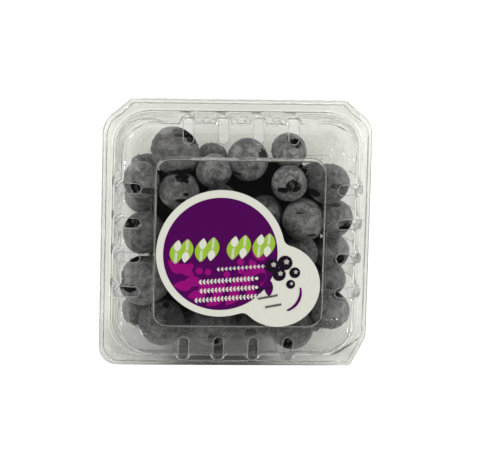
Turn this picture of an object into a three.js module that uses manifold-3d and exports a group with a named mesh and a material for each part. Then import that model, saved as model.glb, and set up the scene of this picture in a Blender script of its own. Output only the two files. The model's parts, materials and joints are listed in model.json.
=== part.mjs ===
// A clear clamshell punnet of blueberries: a thin fluted tray, a hinged lid with vent slots
// and a raised panel, a label stuck on the panel, and the heap of berries inside.
// Millimetres, +Z up. The origin is under the middle of the tray, +Y points to the hinge.
import * as THREE from 'three';
import { mergeVertices } from 'three/addons/utils/BufferGeometryUtils.js';
import Module from 'manifold-3d';

const wasm = await Module();
wasm.setup();

// ---- Driving dimensions -------------------------------------------------------------------

const rimWidth = 115;          // over the flanges, left to right
const rimDepth = 116;          // over the flanges, front edge to hinge line
const partingZ = 20;           // height of the plane where lid and tray meet
const totalHeight = 42;        // up to the lid's raised panel
const sheet = 0.7;             // wall thickness of tray and lid
const clearance = 0.3;         // gap between pieces that touch

const flute = { count: 4, pitch: 14.8, halfWidth: 3.25, crestShare: 0.45, zone: 27 };
const slot = { width: 4.1, inner: 41.6, outer: 52.2, lowestZ: 33.6, curveSteps: 3 };

// The lid's section from the panel outwards: half side and corner radius of each bend.
const panel = { half: 36, corner: 6, topHalf: 35.5, topCorner: 5.5, rise: 4.6 };
const ledge = { half: 48.2, corner: 12.5, drop: 1.7, flatHalf: 42.5, flatCorner: 9.5, flatDrop: 0.3 };
const shoulder = { half: 49.5, corner: 13, drop: 2.4, swell: 2.5 };
const crest = { half: 50, corner: 13.2, drop: 4.4, swell: 3.1 };
const lidFoot = { half: 51.6, corner: 14, swell: 0.6 };
const bead = { inner: 52.2, outer: 53.8, corner: 15, slope: 0.3, rise: 0.85 };

// The tray's section: a raised middle, the band it stands on, and the fluted wall.
const recess = { half: 38.4, corner: 6.5, topHalf: 37.4, topCorner: 5.5, depth: 3 };
const trayFoot = { half: 43.6, corner: 9.5 };
const trayLow = { half: 46.3, corner: 12, z: 2.4 };
const trayMiddle = { half: 49.6, corner: 13.2, z: 12, swell: 2.2 };
const trayTop = { half: 51.4, corner: 14, swell: 1.3 };

// The rim's corners. Three of them bend by less than a quarter turn and end in a straight cut.
const frontLeftRadius = 8;
const hingeCorner = { start: 14.8, radius: 10.7, sweep: 61, cut: 11.4 };
const tabCorner = { start: 14.9, radius: 9.8, sweep: 27.4, cut: 6.5 };
const cornerSteps = 4;

const labelSize = {
  thickness: 0.3,
  big: { x: -7.9, y: -4.2, radius: 27.2 },
  small: { x: 16.7, y: -17.9, radius: 17.8 },
  fillet: 4,
  curveSteps: 14,
};

// Each row is a berry that lies at the top or a side of the heap: x, y, height, diameter.
const outerBerries = [
  [-26.5, 35.5, 22.5, 21.0], [-39.0, 26.5, 12.5, 12.6], [-41.0, 24.0, 26.5, 15.3], [-39.5, 14.0, 10.5, 14.4],
  [-10.0, 31.5, 12.5, 12.5], [-10.5, 28.5, 28.0, 14.6], [4.0, 33.0, 25.5, 17.6], [6.0, 24.5, 12.0, 14.9],
  [22.0, 36.0, 20.0, 14.8], [21.5, 23.5, 28.5, 14.7], [33.5, 23.0, 12.0, 13.3], [38.5, 23.0, 26.0, 17.4],
  [-25.0, 19.5, 27.5, 16.4], [28.0, 7.5, 27.0, 17.6], [12.0, 9.0, 21.5, 15.9], [42.3, 7.0, 22.5, 16.4],
  [42.0, -8.5, 16.5, 15.2], [41.4, -21.2, 14.0, 14.6], [40.5, -32.0, 24.0, 17.6], [-39.5, 1.0, 25.5, 17.5],
  [-38.3, -20.1, 23.5, 21.5], [-40.5, -35.5, 11.0, 14.2], [-31.0, -37.8, 25.3, 19.6],
  [-9.0, -38.5, 26.0, 18.8], [6.8, -37.6, 20.5, 14.9], [24.5, -41.0, 26.3, 18.0],
  [34.5, -38.0, 11.0, 13.9], [28.5, -8.0, 22.0, 14.4], [-26.5, 30.5, 11.0, 14.0], [22.0, 34.0, 9.4, 10.5],
];
// The berries that others or the label cover: two grids of places, shaken a little.
const hiddenTop = {
  pitch: 15.4, rows: [-2, 1], columns: [-2, 2], forward: 0, reach: 33, z: 25, smallest: 14, largest: 17.5,
};
const bottomLayer = {
  pitch: 14.6, rows: [-2, 2], columns: [-3, 2], forward: 9, reach: 50, z: 11, smallest: 13, largest: 16.5,
};
const settle = { steps: 90, drop: 0.12, touch: 0.1, seed: 2741, shake: 3, crowded: 0.36 };
// Room for the berries inside the closed pack: half width at the parting and how it narrows.
const room = {
  half: 50.8, belowSlope: 5.2 / 17, aboveSlope: 2.6 / 11.85, corner: 13, ceiling: 36, gap: 0.3,
};
const berry = { flatten: 0.94, turnSeed: 97 };

// The bare core that every berry is fused to: rows of half side, corner radius and height.
// It is shorter from front to back than it is wide and lies a little towards the front.
const core = {
  rings: [[33, 8, 7], [37, 8, 10.5], [36.5, 8, 21.5], [29, 8, 25.5]],
  shorter: 0.93,
  forward: 3,
};

const colours = { pet: 0xdde0da, label: 0x4a0a50, berry: 0x4b4c58 };

// ---- Outlines -----------------------------------------------------------------------------

const sideStations = [];       // places along a side where the flutes begin, crest and end
for (let i = 0; i < flute.count; i += 1) {
  const middle = (i - (flute.count - 1) / 2) * flute.pitch;
  for (const share of [-1, -flute.crestShare, flute.crestShare, 1]) {
    sideStations.push({ middle, share, crest: Math.abs(share) < 1 });
  }
}
const pointsRound = 4 * (sideStations.length + cornerSteps + 1);

// The same number of points for every outline: right side, corner, back, corner, left, ...
// With thinner above zero it is the inner face of a wall of that thickness.
function wallOutline({ half, corner, swell = 0 }, thinner = 0) {
  const points = [];
  const out = half - thinner;
  const bend = Math.max(corner - thinner, 0);
  const squeeze = Math.min(1, (out - bend) / flute.zone);
  for (let side = 0; side < 4; side += 1) {
    const turn = side * Math.PI / 2;
    const place = (x, y) => points.push(new THREE.Vector2(
      x * Math.cos(turn) - y * Math.sin(turn),
      x * Math.sin(turn) + y * Math.cos(turn),
    ));
    for (const station of sideStations) {
      const reach = flute.halfWidth - (station.crest ? thinner / 2 : thinner);
      place(out + (station.crest ? swell : 0), (station.middle + station.share * reach) * squeeze);
    }
    for (let k = 0; k <= cornerSteps; k += 1) {
      const angle = k / cornerSteps * Math.PI / 2;
      const centre = out - bend;
      place(centre + bend * Math.cos(angle), centre + bend * Math.sin(angle));
    }
  }
  return points;
}

// Distances from the side edge and from the front or back edge, at a step round a corner.
function roundCornerStep(radius, k) {
  const angle = k / cornerSteps * Math.PI / 2;
  return [radius * (1 - Math.cos(angle)), radius * (1 - Math.sin(angle))];
}

function cutCornerStep({ start, radius, sweep, cut }, k) {
  if (k === cornerSteps) {
    return [cut, 0];
  }
  const angle = THREE.MathUtils.degToRad(k / (cornerSteps - 1) * sweep);
  return [radius * (1 - Math.cos(angle)), start - radius * Math.sin(angle)];
}

// The flanges' outer edge.
function rimOutline() {
  const halfX = rimWidth / 2;
  const halfY = rimDepth / 2;
  const points = [];
  const along = (station) => station.middle + station.share * flute.halfWidth;
  const addCorner = (stepAt, signX, signY) => {
    const startsAtSide = signX * signY > 0;
    for (let i = 0; i <= cornerSteps; i += 1) {
      const [fromSide, fromEnd] = stepAt(startsAtSide ? i : cornerSteps - i);
      points.push(new THREE.Vector2(signX * (halfX - fromSide), signY * (halfY - fromEnd)));
    }
  };
  sideStations.forEach((station) => points.push(new THREE.Vector2(halfX, along(station))));
  addCorner((k) => cutCornerStep(hingeCorner, k), 1, 1);
  sideStations.forEach((station) => points.push(new THREE.Vector2(-along(station), halfY)));
  addCorner((k) => cutCornerStep(hingeCorner, k), -1, 1);
  sideStations.forEach((station) => points.push(new THREE.Vector2(-halfX, -along(station))));
  addCorner((k) => roundCornerStep(frontLeftRadius, k), -1, -1);
  sideStations.forEach((station) => points.push(new THREE.Vector2(along(station), -halfY)));
  addCorner((k) => cutCornerStep(tabCorner, k), 1, -1);
  return points;
}

// ---- Solids -------------------------------------------------------------------------------

// A closed shell through a row of outlines. It is a lathed body whose rings are then moved
// from circles to the outlines; the first and last ring close on the axis.
function shellThrough(rings) {
  const profile = rings.map((ring) => new THREE.Vector2(ring.outline ? 1 : 0, ring.z));
  const geometry = new THREE.LatheGeometry(profile, pointsRound);
  const position = geometry.getAttribute('position');
  for (let i = 0; i <= pointsRound; i += 1) {
    rings.forEach((ring, j) => {
      const point = ring.outline ? ring.outline[i % pointsRound] : new THREE.Vector2(0, 0);
      position.setXYZ(i * rings.length + j, point.x, point.y, ring.z);
    });
  }
  return geometry;
}

function ringAt(bend, z, thinner = 0) {
  return { z, outline: wallOutline(bend, thinner) };
}

function toSolid(geometry) {
  const bare = new THREE.BufferGeometry();
  bare.setAttribute('position', geometry.getAttribute('position').clone());
  bare.setIndex(geometry.index ? geometry.index.clone() : null);
  const merged = mergeVertices(bare, 1e-4);
  const kept = [];
  const index = merged.index.array;
  for (let i = 0; i < index.length; i += 3) {
    const [a, b, c] = [index[i], index[i + 1], index[i + 2]];
    if (a !== b && b !== c && c !== a) {
      kept.push(a, b, c);
    }
  }
  const build = (triVerts) => new wasm.Manifold(new wasm.Mesh({
    numProp: 3,
    vertProperties: new Float32Array(merged.getAttribute('position').array),
    triVerts: new Uint32Array(triVerts),
  }));
  const solid = build(kept);
  if (solid.volume() > 0) {
    return solid;
  }
  return build(kept.reverse());  // the rings ran the other way, so the faces pointed inwards
}

function toGeometry(solid) {
  const mesh = solid.getMesh();
  const geometry = new THREE.BufferGeometry();
  geometry.setAttribute('position', new THREE.BufferAttribute(new Float32Array(mesh.vertProperties), 3));
  geometry.setIndex(new THREE.BufferAttribute(new Uint32Array(mesh.triVerts), 1));
  geometry.computeVertexNormals();
  return geometry;
}

function joinAll(solids) {
  return solids.reduce((joined, solid) => joined.add(solid));
}

// ---- Tray ---------------------------------------------------------------------------------

const floorInside = {          // the inner face over the raised middle and at its foot
  half: recess.half + sheet / 2,
  topHalf: recess.topHalf + sheet / 2,
  z: recess.depth + sheet,
};

function makeTray() {
  const topZ = partingZ - clearance / 2;
  const underFlange = topZ - sheet;
  const bandBend = { half: trayFoot.half - sheet / 2, corner: trayFoot.corner };
  return toSolid(shellThrough([
    { z: recess.depth },
    ringAt({ half: recess.topHalf, corner: recess.topCorner }, recess.depth),
    ringAt(recess, 0),
    ringAt(trayFoot, 0),
    ringAt(trayLow, trayLow.z),
    ringAt(trayMiddle, trayMiddle.z),
    ringAt(trayTop, underFlange),
    { z: underFlange, outline: rimOutline() },
    { z: topZ, outline: rimOutline() },
    ringAt(trayTop, topZ, sheet),
    ringAt(trayMiddle, trayMiddle.z, sheet),
    ringAt(trayLow, trayLow.z + sheet * 0.7, sheet),
    ringAt(bandBend, sheet),
    ringAt({ half: floorInside.half, corner: recess.corner }, sheet),
    ringAt({ half: floorInside.topHalf, corner: recess.topCorner }, floorInside.z),
    { z: floorInside.z },
  ]));
}

// ---- Lid ----------------------------------------------------------------------------------

// A pill-shaped cutter over the ledge and shoulder of one side, standing on the slot's lowest z.
function ventCutter(side, across) {
  const radius = slot.width / 2;
  const shape = new THREE.Shape();
  shape.absarc(slot.outer - radius, 0, radius, -Math.PI / 2, Math.PI / 2, false);
  shape.absarc(slot.inner + radius, 0, radius, Math.PI / 2, Math.PI * 1.5, false);
  const depth = totalHeight - slot.lowestZ;
  const cutter = new THREE.ExtrudeGeometry(
    shape,
    { depth, bevelEnabled: false, curveSegments: slot.curveSteps },
  );
  cutter.translate(0, across, slot.lowestZ);
  cutter.rotateZ(side * Math.PI / 2);
  return toSolid(cutter);
}

function makeLid() {
  const bottomZ = partingZ + clearance / 2;
  const flangeZ = bottomZ + sheet;
  const ledgeZ = totalHeight - panel.rise;
  const shoulderZ = ledgeZ - shoulder.drop;
  const crestZ = ledgeZ - crest.drop;
  const flatBend = { half: ledge.flatHalf, corner: ledge.flatCorner };
  const beadBend = (half) => ({ half, corner: bead.corner });
  let lid = toSolid(shellThrough([
    { z: totalHeight },
    ringAt({ half: panel.topHalf, corner: panel.topCorner }, totalHeight),
    ringAt(panel, ledgeZ),
    ringAt(flatBend, ledgeZ - ledge.flatDrop),
    ringAt(ledge, ledgeZ - ledge.drop),
    ringAt(shoulder, shoulderZ),
    ringAt(crest, crestZ),
    ringAt(lidFoot, flangeZ),
    ringAt(beadBend(bead.inner), flangeZ),
    ringAt(beadBend(bead.inner + bead.slope), flangeZ + bead.rise),
    ringAt(beadBend(bead.outer - bead.slope), flangeZ + bead.rise),
    ringAt(beadBend(bead.outer), flangeZ),
    { z: flangeZ, outline: rimOutline() },
    { z: bottomZ, outline: rimOutline() },
    ringAt(lidFoot, bottomZ, sheet),
    ringAt(crest, crestZ - sheet * 0.2, sheet),
    ringAt(shoulder, shoulderZ - sheet * 0.4, sheet),
    ringAt({ half: ledge.half - sheet * 0.4, corner: ledge.corner }, ledgeZ - ledge.drop - sheet),
    ringAt(flatBend, ledgeZ - ledge.flatDrop - sheet),
    ringAt(panel, ledgeZ - sheet, sheet),
    ringAt({ half: panel.topHalf - sheet, corner: panel.topCorner - sheet }, totalHeight - sheet),
    { z: totalHeight - sheet },
  ]));
  for (let side = 0; side < 4; side += 1) {
    for (let i = 0; i < flute.count; i += 1) {
      lid = lid.subtract(ventCutter(side, (i - (flute.count - 1) / 2) * flute.pitch));
    }
  }
  return lid;
}

// ---- Label --------------------------------------------------------------------------------

// Two round fields joined by hollow fillets: the fillet circles touch both from outside.
function labelShape() {
  const { big, small, fillet } = labelSize;
  const bigCentre = new THREE.Vector2(big.x, big.y);
  const smallCentre = new THREE.Vector2(small.x, small.y);
  const between = smallCentre.clone().sub(bigCentre);
  const distance = between.length();
  const reachBig = big.radius + fillet;
  const reachSmall = small.radius + fillet;
  const heading = between.angle();
  const cosine = (distance ** 2 + reachBig ** 2 - reachSmall ** 2) / (2 * distance * reachBig);
  const spread = Math.acos(cosine);
  const filletCentre = (side) => new THREE.Vector2(reachBig, 0)
    .rotateAround(new THREE.Vector2(0, 0), heading + side * spread).add(bigCentre);
  const upper = filletCentre(1);
  const lower = filletCentre(-1);
  const angleOf = (from, to) => to.clone().sub(from).angle();
  const shape = new THREE.Shape();
  shape.absarc(big.x, big.y, big.radius, heading + spread, heading - spread + Math.PI * 2, false);
  shape.absarc(lower.x, lower.y, fillet, angleOf(lower, bigCentre), angleOf(lower, smallCentre), true);
  const smallStart = angleOf(smallCentre, lower);
  shape.absarc(small.x, small.y, small.radius, smallStart, angleOf(smallCentre, upper), false);
  shape.absarc(upper.x, upper.y, fillet, angleOf(upper, smallCentre), angleOf(upper, bigCentre), true);
  return shape;
}

function makeLabel() {
  const geometry = new THREE.ExtrudeGeometry(
    labelShape(),
    { depth: labelSize.thickness, bevelEnabled: false, curveSegments: labelSize.curveSteps },
  );
  geometry.translate(0, 0, totalHeight + clearance);
  return toSolid(geometry);
}

// ---- Berries ------------------------------------------------------------------------------

function seededDraws(seed) {
  let state = seed;
  return () => {
    state = (state * 16807) % 2147483647;
    return state / 2147483647;
  };
}

function distanceBetween(first, second) {
  return Math.sqrt((first.x - second.x) ** 2 + (first.y - second.y) ** 2 + (first.z - second.z) ** 2);
}

function insideHalf(z) {
  const below = room.belowSlope * Math.max(0, partingZ - z);
  const above = room.aboveSlope * Math.max(0, z - partingZ);
  return room.half - below - above;
}

// Puts a berry on each place of a shaken grid that isn't taken yet.
function fillGrid(berries, layer, draw) {
  for (let row = layer.rows[0]; row <= layer.rows[1]; row += 1) {
    for (let column = layer.columns[0]; column <= layer.columns[1]; column += 1) {
      const shift = row % 2 ? 0.5 : 0;
      const x = (column + shift) * layer.pitch + (draw() - 0.5) * settle.shake;
      const y = row * layer.pitch - layer.forward + (draw() - 0.5) * settle.shake;
      const diameter = layer.smallest + (layer.largest - layer.smallest) * draw();
      const z = layer.z + draw() - 0.5;
      const added = { x, y, z, diameter, ease: 1 };
      const free = berries.every((other) => (
        distanceBetween(added, other) > settle.crowded * (diameter + other.diameter)
      ));
      if (free && Math.abs(x) < layer.reach - diameter / 2) {
        berries.push(added);
      }
    }
  }
}

function keepInside(one) {
  const radius = one.diameter / 2;
  const free = insideHalf(one.z) - room.gap - radius;
  one.x = Math.max(-free, Math.min(free, one.x));
  one.y = Math.max(-free, Math.min(free, one.y));
  const bend = Math.max(0, room.corner - radius);
  const overX = Math.abs(one.x) - (free - bend);
  const overY = Math.abs(one.y) - (free - bend);
  const over = Math.sqrt(overX ** 2 + overY ** 2);
  if (overX > 0 && overY > 0 && over > bend) {
    one.x = Math.sign(one.x) * (free - bend + overX * bend / over);
    one.y = Math.sign(one.y) * (free - bend + overY * bend / over);
  }
  const past = Math.max(Math.abs(one.x), Math.abs(one.y)) - floorInside.half;
  const overEdge = past > 0 ? Math.sqrt(Math.max(0, radius ** 2 - past ** 2)) : radius;
  const floor = Math.max(sheet + radius, floorInside.z + overEdge) + room.gap;
  one.z = Math.max(floor, Math.min(room.ceiling - radius, one.z));
}

function pushApart(first, second) {
  const distance = distanceBetween(first, second) + 1e-9;
  const overlap = (first.diameter + second.diameter) / 2 - settle.touch - distance;
  if (overlap <= 0) {
    return;
  }
  const step = overlap / 2 / distance;
  for (const axis of ['x', 'y', 'z']) {
    const gap = second[axis] - first[axis];
    first[axis] -= gap * step * first.ease;
    second[axis] += gap * step * second.ease;
  }
}

// The berries in sight keep their places. The others sink a little, push apart and stay inside.
function settledBerries() {
  const berries = outerBerries.map(([x, y, z, diameter]) => ({ x, y, z, diameter, ease: 0 }));
  const draw = seededDraws(settle.seed);
  fillGrid(berries, hiddenTop, draw);
  fillGrid(berries, bottomLayer, draw);
  for (let step = 0; step < settle.steps; step += 1) {
    berries.forEach((one) => {
      one.z -= settle.drop * one.ease;
    });
    for (let i = 0; i < berries.length; i += 1) {
      for (let j = i + 1; j < berries.length; j += 1) {
        pushApart(berries[i], berries[j]);
      }
    }
    berries.forEach(keepInside);
  }
  return berries;
}

function makeHeap() {
  const draw = seededDraws(berry.turnSeed);
  const block = shellThrough([
    { z: core.rings[0][2] },
    ...core.rings.map(([half, corner, z]) => ringAt({ half, corner }, z)),
    { z: core.rings[core.rings.length - 1][2] },
  ]);
  block.scale(1, core.shorter, 1);
  block.translate(0, -core.forward, 0);
  const solids = [toSolid(block).simplify(0.05)];
  settledBerries().forEach((one) => {
    const ball = new THREE.IcosahedronGeometry(one.diameter / 2, 1);
    ball.scale(1, 1, berry.flatten);
    ball.rotateX(draw() * Math.PI * 2);
    ball.rotateZ(draw() * Math.PI * 2);
    ball.translate(one.x, one.y, one.z);
    solids.push(toSolid(ball));
  });
  return joinAll(solids);
}

// ---- The object ---------------------------------------------------------------------------

function piece(name, solid, material) {
  const mesh = new THREE.Mesh(toGeometry(solid), new THREE.MeshStandardMaterial(material));
  mesh.name = name;
  return mesh;
}

const clearPlastic = { color: colours.pet, roughness: 0.08, metalness: 0, transparent: true, opacity: 0.3 };

const tray = new THREE.Group();
tray.add(piece('base_tray', makeTray(), clearPlastic));
tray.add(piece('berry_heap', makeHeap(), { color: colours.berry, roughness: 0.65, metalness: 0 }));

const cover = new THREE.Group();
cover.add(piece('lid', makeLid(), clearPlastic));
cover.add(piece('label', makeLabel(), { color: colours.label, roughness: 0.35, metalness: 0 }));

const punnet = new THREE.Group();
punnet.add(tray, cover);

export default punnet;
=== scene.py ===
import json
import math

import bmesh
import bpy
from mathutils import Euler, Matrix, Vector
from mathutils.bvhtree import BVHTree

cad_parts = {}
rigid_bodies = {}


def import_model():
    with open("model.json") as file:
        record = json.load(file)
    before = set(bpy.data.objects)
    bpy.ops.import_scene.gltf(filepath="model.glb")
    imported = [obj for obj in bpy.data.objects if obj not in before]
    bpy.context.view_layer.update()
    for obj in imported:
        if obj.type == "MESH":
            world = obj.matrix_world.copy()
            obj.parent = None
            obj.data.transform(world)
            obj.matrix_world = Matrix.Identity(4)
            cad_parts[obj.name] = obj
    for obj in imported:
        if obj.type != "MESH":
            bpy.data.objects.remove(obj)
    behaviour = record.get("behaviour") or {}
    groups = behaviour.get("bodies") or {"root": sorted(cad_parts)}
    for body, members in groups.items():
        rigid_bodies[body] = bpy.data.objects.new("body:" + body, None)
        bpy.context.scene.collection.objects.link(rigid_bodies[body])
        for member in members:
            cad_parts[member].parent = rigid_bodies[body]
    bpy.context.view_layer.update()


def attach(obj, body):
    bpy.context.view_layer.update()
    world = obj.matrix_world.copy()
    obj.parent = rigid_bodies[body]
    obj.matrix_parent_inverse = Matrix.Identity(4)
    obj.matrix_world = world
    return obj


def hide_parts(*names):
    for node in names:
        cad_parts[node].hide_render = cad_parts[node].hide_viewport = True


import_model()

mm = 0.001
print("frame loaded")

view = {
    "distance": 1.5,                 # from the lid's flange to the lens
    "tilt": 12.93,                   # degrees away from straight down
    "towards": 23.0,                 # degrees, turned from the hinge side to the left
    "roll": 1.51,
    "pixelsPerMetre": 2347.6,
    "imageWidth": 480,
    "imageMiddle": (240, 228),
    "middlePixel": (235.4, 233.2),   # where the middle of the rim falls in the picture
    "rimHeight": 0.0205,
    "sensor": 36.0,
    "clip": (0.01, 20),
}

light = {
    "softboxes": [                   # place, side, power; each looks at the punnet
        ((-0.9, 0.75, 0.8), 0.16, 3.2),
        ((0.95, 0.35, 0.7), 0.12, 2.0),
        ((0.45, 1.05, 0.9), 0.08, 1.0),
        ((-0.35, 1.1, 0.7), 0.08, 1.0),
        ((0.95, -0.55, 0.8), 0.08, 0.8),
        ((-1.05, -0.35, 0.8), 0.08, 0.9),
        ((0.42, -0.05, 1.35), 0.05, 0.25),
        ((-0.2, -0.55, 1.3), 0.05, 0.25),
    ],
    "tent": (1.0, 1.0, 0.985, 1),
    "tentStrength": 1.3,
    "horizon": (0.06, 0.22),         # how steeply up the tent's dark foot ends and the white begins
    "horizonShare": 0.15,
    "openTop": (0.86, 0.965),        # how steeply up the tent ends and the dark opening begins
    "openColour": (0.012, 0.012, 0.013, 1),
    "front": (-0.55, -0.1),          # which way in y the tent is dimmer, and how much of it is left
    "frontShare": 0.62,
}

# the floor glows a little; where it is seen through the plastic or mirrored in it, it is
# darker under the pack and has a shade at the front
floorLook = {
    "half": 3.0, "colour": (0.96, 0.96, 0.955, 1), "darkest": (0.02, 0.02, 0.02, 1),
    "glow": 0.38, "roughness": 0.9,
    "shadeMiddle": -0.004, "shadeWidth": 0.031, "shadePower": 4.0, "shadeDepth": 0.965,
    "shadeFront": (-0.6, -0.3), "shadeBack": (-0.034, -0.016),
    "fringeWidth": 0.05, "fringePower": 2.0, "fringeShare": 0.82, "fringeBack": (-0.048, -0.037),
    # the floor under the pack gets less light: where that begins and is full on each side
    "underLeft": (-0.0535, -0.0495), "underRight": (0.0565, 0.0525),
    "underBack": (0.0537, 0.0525), "underFront": (-0.0615, -0.057), "underDepth": 0.20,
}


class Wires:
    # writes a node tree: each call puts down a node and gives back what comes out of it
    def __init__(self, tree):
        self.tree = tree

    def feed(self, socket, value):
        if isinstance(value, bpy.types.NodeSocket):
            self.tree.links.new(value, socket)
        else:
            socket.default_value = value

    def node(self, kind, inputs, **settings):
        made = self.tree.nodes.new(kind)
        for name, value in settings.items():
            setattr(made, name, value)
        for socket, value in inputs.items():
            self.feed(made.inputs[socket], value)
        return made.outputs

    def add(self, kind, inputs, **settings):
        return self.node(kind, inputs, **settings)[0]

    def math(self, operation, *values, clamp=False):
        return self.add("ShaderNodeMath", dict(enumerate(values)), operation=operation, use_clamp=clamp)

    def times(self, first, *others):
        for other in others:
            first = self.math("MULTIPLY", first, other)
        return first

    def scaled(self, value, share, offset):
        return self.math("ADD", self.math("MULTIPLY", value, share), offset)

    def rest(self, value):
        return self.math("SUBTRACT", 1.0, value)

    def size(self, value):
        return self.math("ABSOLUTE", value)

    def ramp(self, value, edges, ends=(0.0, 1.0), kind="SMOOTHSTEP"):
        inputs = {"Value": value, "From Min": edges[0], "From Max": edges[1]}
        inputs.update({"To Min": ends[0], "To Max": ends[1]})
        return self.add("ShaderNodeMapRange", inputs, interpolation_type=kind)

    def mix(self, factor, first, second):
        inputs = {"Factor": factor, "A": first, "B": second}
        return self.node("ShaderNodeMix", inputs, data_type="RGBA")["Result"]

    def split(self, vector):
        return self.node("ShaderNodeSeparateXYZ", {0: vector})

    def place(self):
        return self.node("ShaderNodeTexCoord", {})["Object"]

    def noise(self, place, scale, detail):
        return self.add("ShaderNodeTexNoise", {"Vector": place, "Scale": scale, "Detail": detail})

    def attribute(self, name, kind="FLOAT"):
        return self.node("GeometryNodeInputNamedAttribute", {"Name": name}, data_type=kind)["Attribute"]


def newTree(name, kind, inputs, outputs):
    # a tree with named sockets; gives back what writes it, what goes in and what comes out
    tree = bpy.data.node_groups.new(name, kind)
    for side, sockets in (("INPUT", inputs), ("OUTPUT", outputs)):
        for label, socketKind in sockets.items():
            tree.interface.new_socket(label, in_out=side, socket_type="NodeSocket" + socketKind)
    start = tree.nodes.new("NodeGroupInput")
    end = tree.nodes.new("NodeGroupOutput")
    return Wires(tree), start.outputs, end.inputs


def geometryTree(name, inputs):
    geometry = {"Geometry": "Geometry"}
    return newTree(name, "GeometryNodeTree", {**geometry, **inputs}, geometry)


def newMaterial(name, plain):
    # plain holds what is the same all over the surface
    material = bpy.data.materials.new(name)
    material.use_nodes = True
    shader = material.node_tree.nodes["Principled BSDF"]
    for socket, value in plain.items():
        shader.inputs[socket].default_value = value
    return material, Wires(material.node_tree), shader


def meshObject(name, verts, faces, material=None, smooth=True):
    mesh = bpy.data.meshes.new(name)
    mesh.from_pydata(verts, [], faces)
    mesh.validate()
    if material:
        mesh.materials.append(material)
    mesh.shade_smooth() if smooth else mesh.shade_flat()
    made = bpy.data.objects.new(name, mesh)
    bpy.context.collection.objects.link(made)
    return made


def setAttribute(made, name, values, kind="FLOAT"):
    field = "vector" if kind == "FLOAT_VECTOR" else "value"
    made.data.attributes.new(name, kind, "POINT").data.foreach_set(field, values)


def fixNormals(made):
    work = bmesh.new()
    work.from_mesh(made.data)
    bmesh.ops.remove_doubles(work, verts=work.verts, dist=1e-7)
    bmesh.ops.recalc_face_normals(work, faces=work.faces)
    work.to_mesh(made.data)
    work.free()


def joinInto(made, others):
    # adds the meshes of the others to the first object, each with its own material
    for other in others:
        offset = len(made.data.materials)
        for material in other.data.materials:
            made.data.materials.append(material)
        for face in other.data.polygons:
            face.material_index += offset
    work = bmesh.new()
    for part in [made, *others]:
        work.from_mesh(part.data)
    work.to_mesh(made.data)
    work.free()
    for other in others:
        bpy.data.objects.remove(other)


def settleModifiers(made):
    # swaps the object's mesh for what its modifiers make of it
    bpy.context.view_layer.update()
    evaluated = made.evaluated_get(bpy.context.evaluated_depsgraph_get())
    mesh = bpy.data.meshes.new_from_object(evaluated)
    made.modifiers.clear()
    old = made.data
    made.data = mesh
    mesh.name = made.name
    bpy.data.meshes.remove(old)


def addTree(made, tree, values):
    modifier = made.modifiers.new(tree.name, "NODES")
    modifier.node_group = tree
    for item in tree.interface.items_tree:
        if item.in_out == "INPUT" and item.name in values:
            modifier[item.identifier] = values[item.name]
    settleModifiers(made)


def between(first, second, share):
    return tuple(a + (b - a) * share for a, b in zip(first, second))


def ringFaces(rings, count, first):
    # the four-sided faces between closed rings of points
    faces = []
    for ring in range(rings - 1):
        low = first + ring * count
        for k in range(count):
            ahead = low + (k + 1) % count
            faces.append((low + k, low + count + k, ahead + count, ahead))
    return faces


def prismMesh(name, outlines, bottom, top, material=None):
    # each shape ends a hair higher than the one before, so that no two tops share a plane
    verts, faces = [], []
    for level, points in enumerate(outlines):
        count, first = len(points), len(verts)
        for z in (bottom, top + level * labelSize["shapeStep"]):
            verts += [(x * mm, y * mm, z * mm) for x, y in points]
        faces.append(tuple(range(first + count - 1, first - 1, -1)))
        faces.append(tuple(range(first + count, first + 2 * count)))
        for k in range(count):
            here, ahead = first + k, first + (k + 1) % count
            faces.append((here, ahead, ahead + count, here + count))
    made = meshObject(name, verts, faces, material, smooth=False)
    fixNormals(made)
    return made


def seededDraws(seed):
    state = seed
    while True:
        state = (state * 16807) % 2147483647
        yield state / 2147483647


def makeCamera():
    tilt, towards, roll = (math.radians(view[name]) for name in ("tilt", "towards", "roll"))
    level = math.sin(tilt)
    back = Vector((-level * math.sin(towards), level * math.cos(towards), math.cos(tilt)))
    up = Vector((0, 1, 0)) - back * back.y
    up.normalize()
    right = up.cross(back)
    turnedRight = right * math.cos(roll) + up * math.sin(roll)
    turnedUp = up * math.cos(roll) - right * math.sin(roll)
    offset = [(a - b) / view["pixelsPerMetre"] for a, b in zip(view["imageMiddle"], view["middlePixel"])]
    place = Vector((0, 0, view["rimHeight"])) + back * view["distance"]
    place += turnedRight * offset[0] - turnedUp * offset[1]
    data = bpy.data.cameras.new("camera")
    data.sensor_width = view["sensor"]
    data.lens = view["sensor"] * view["pixelsPerMetre"] * view["distance"] / view["imageWidth"]
    data.clip_start, data.clip_end = view["clip"]
    cameraObject = bpy.data.objects.new("camera", data)
    turn = Matrix((turnedRight, turnedUp, back)).transposed().to_4x4()
    cameraObject.matrix_world = Matrix.Translation(place) @ turn
    bpy.context.collection.objects.link(cameraObject)
    bpy.context.scene.camera = cameraObject


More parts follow.
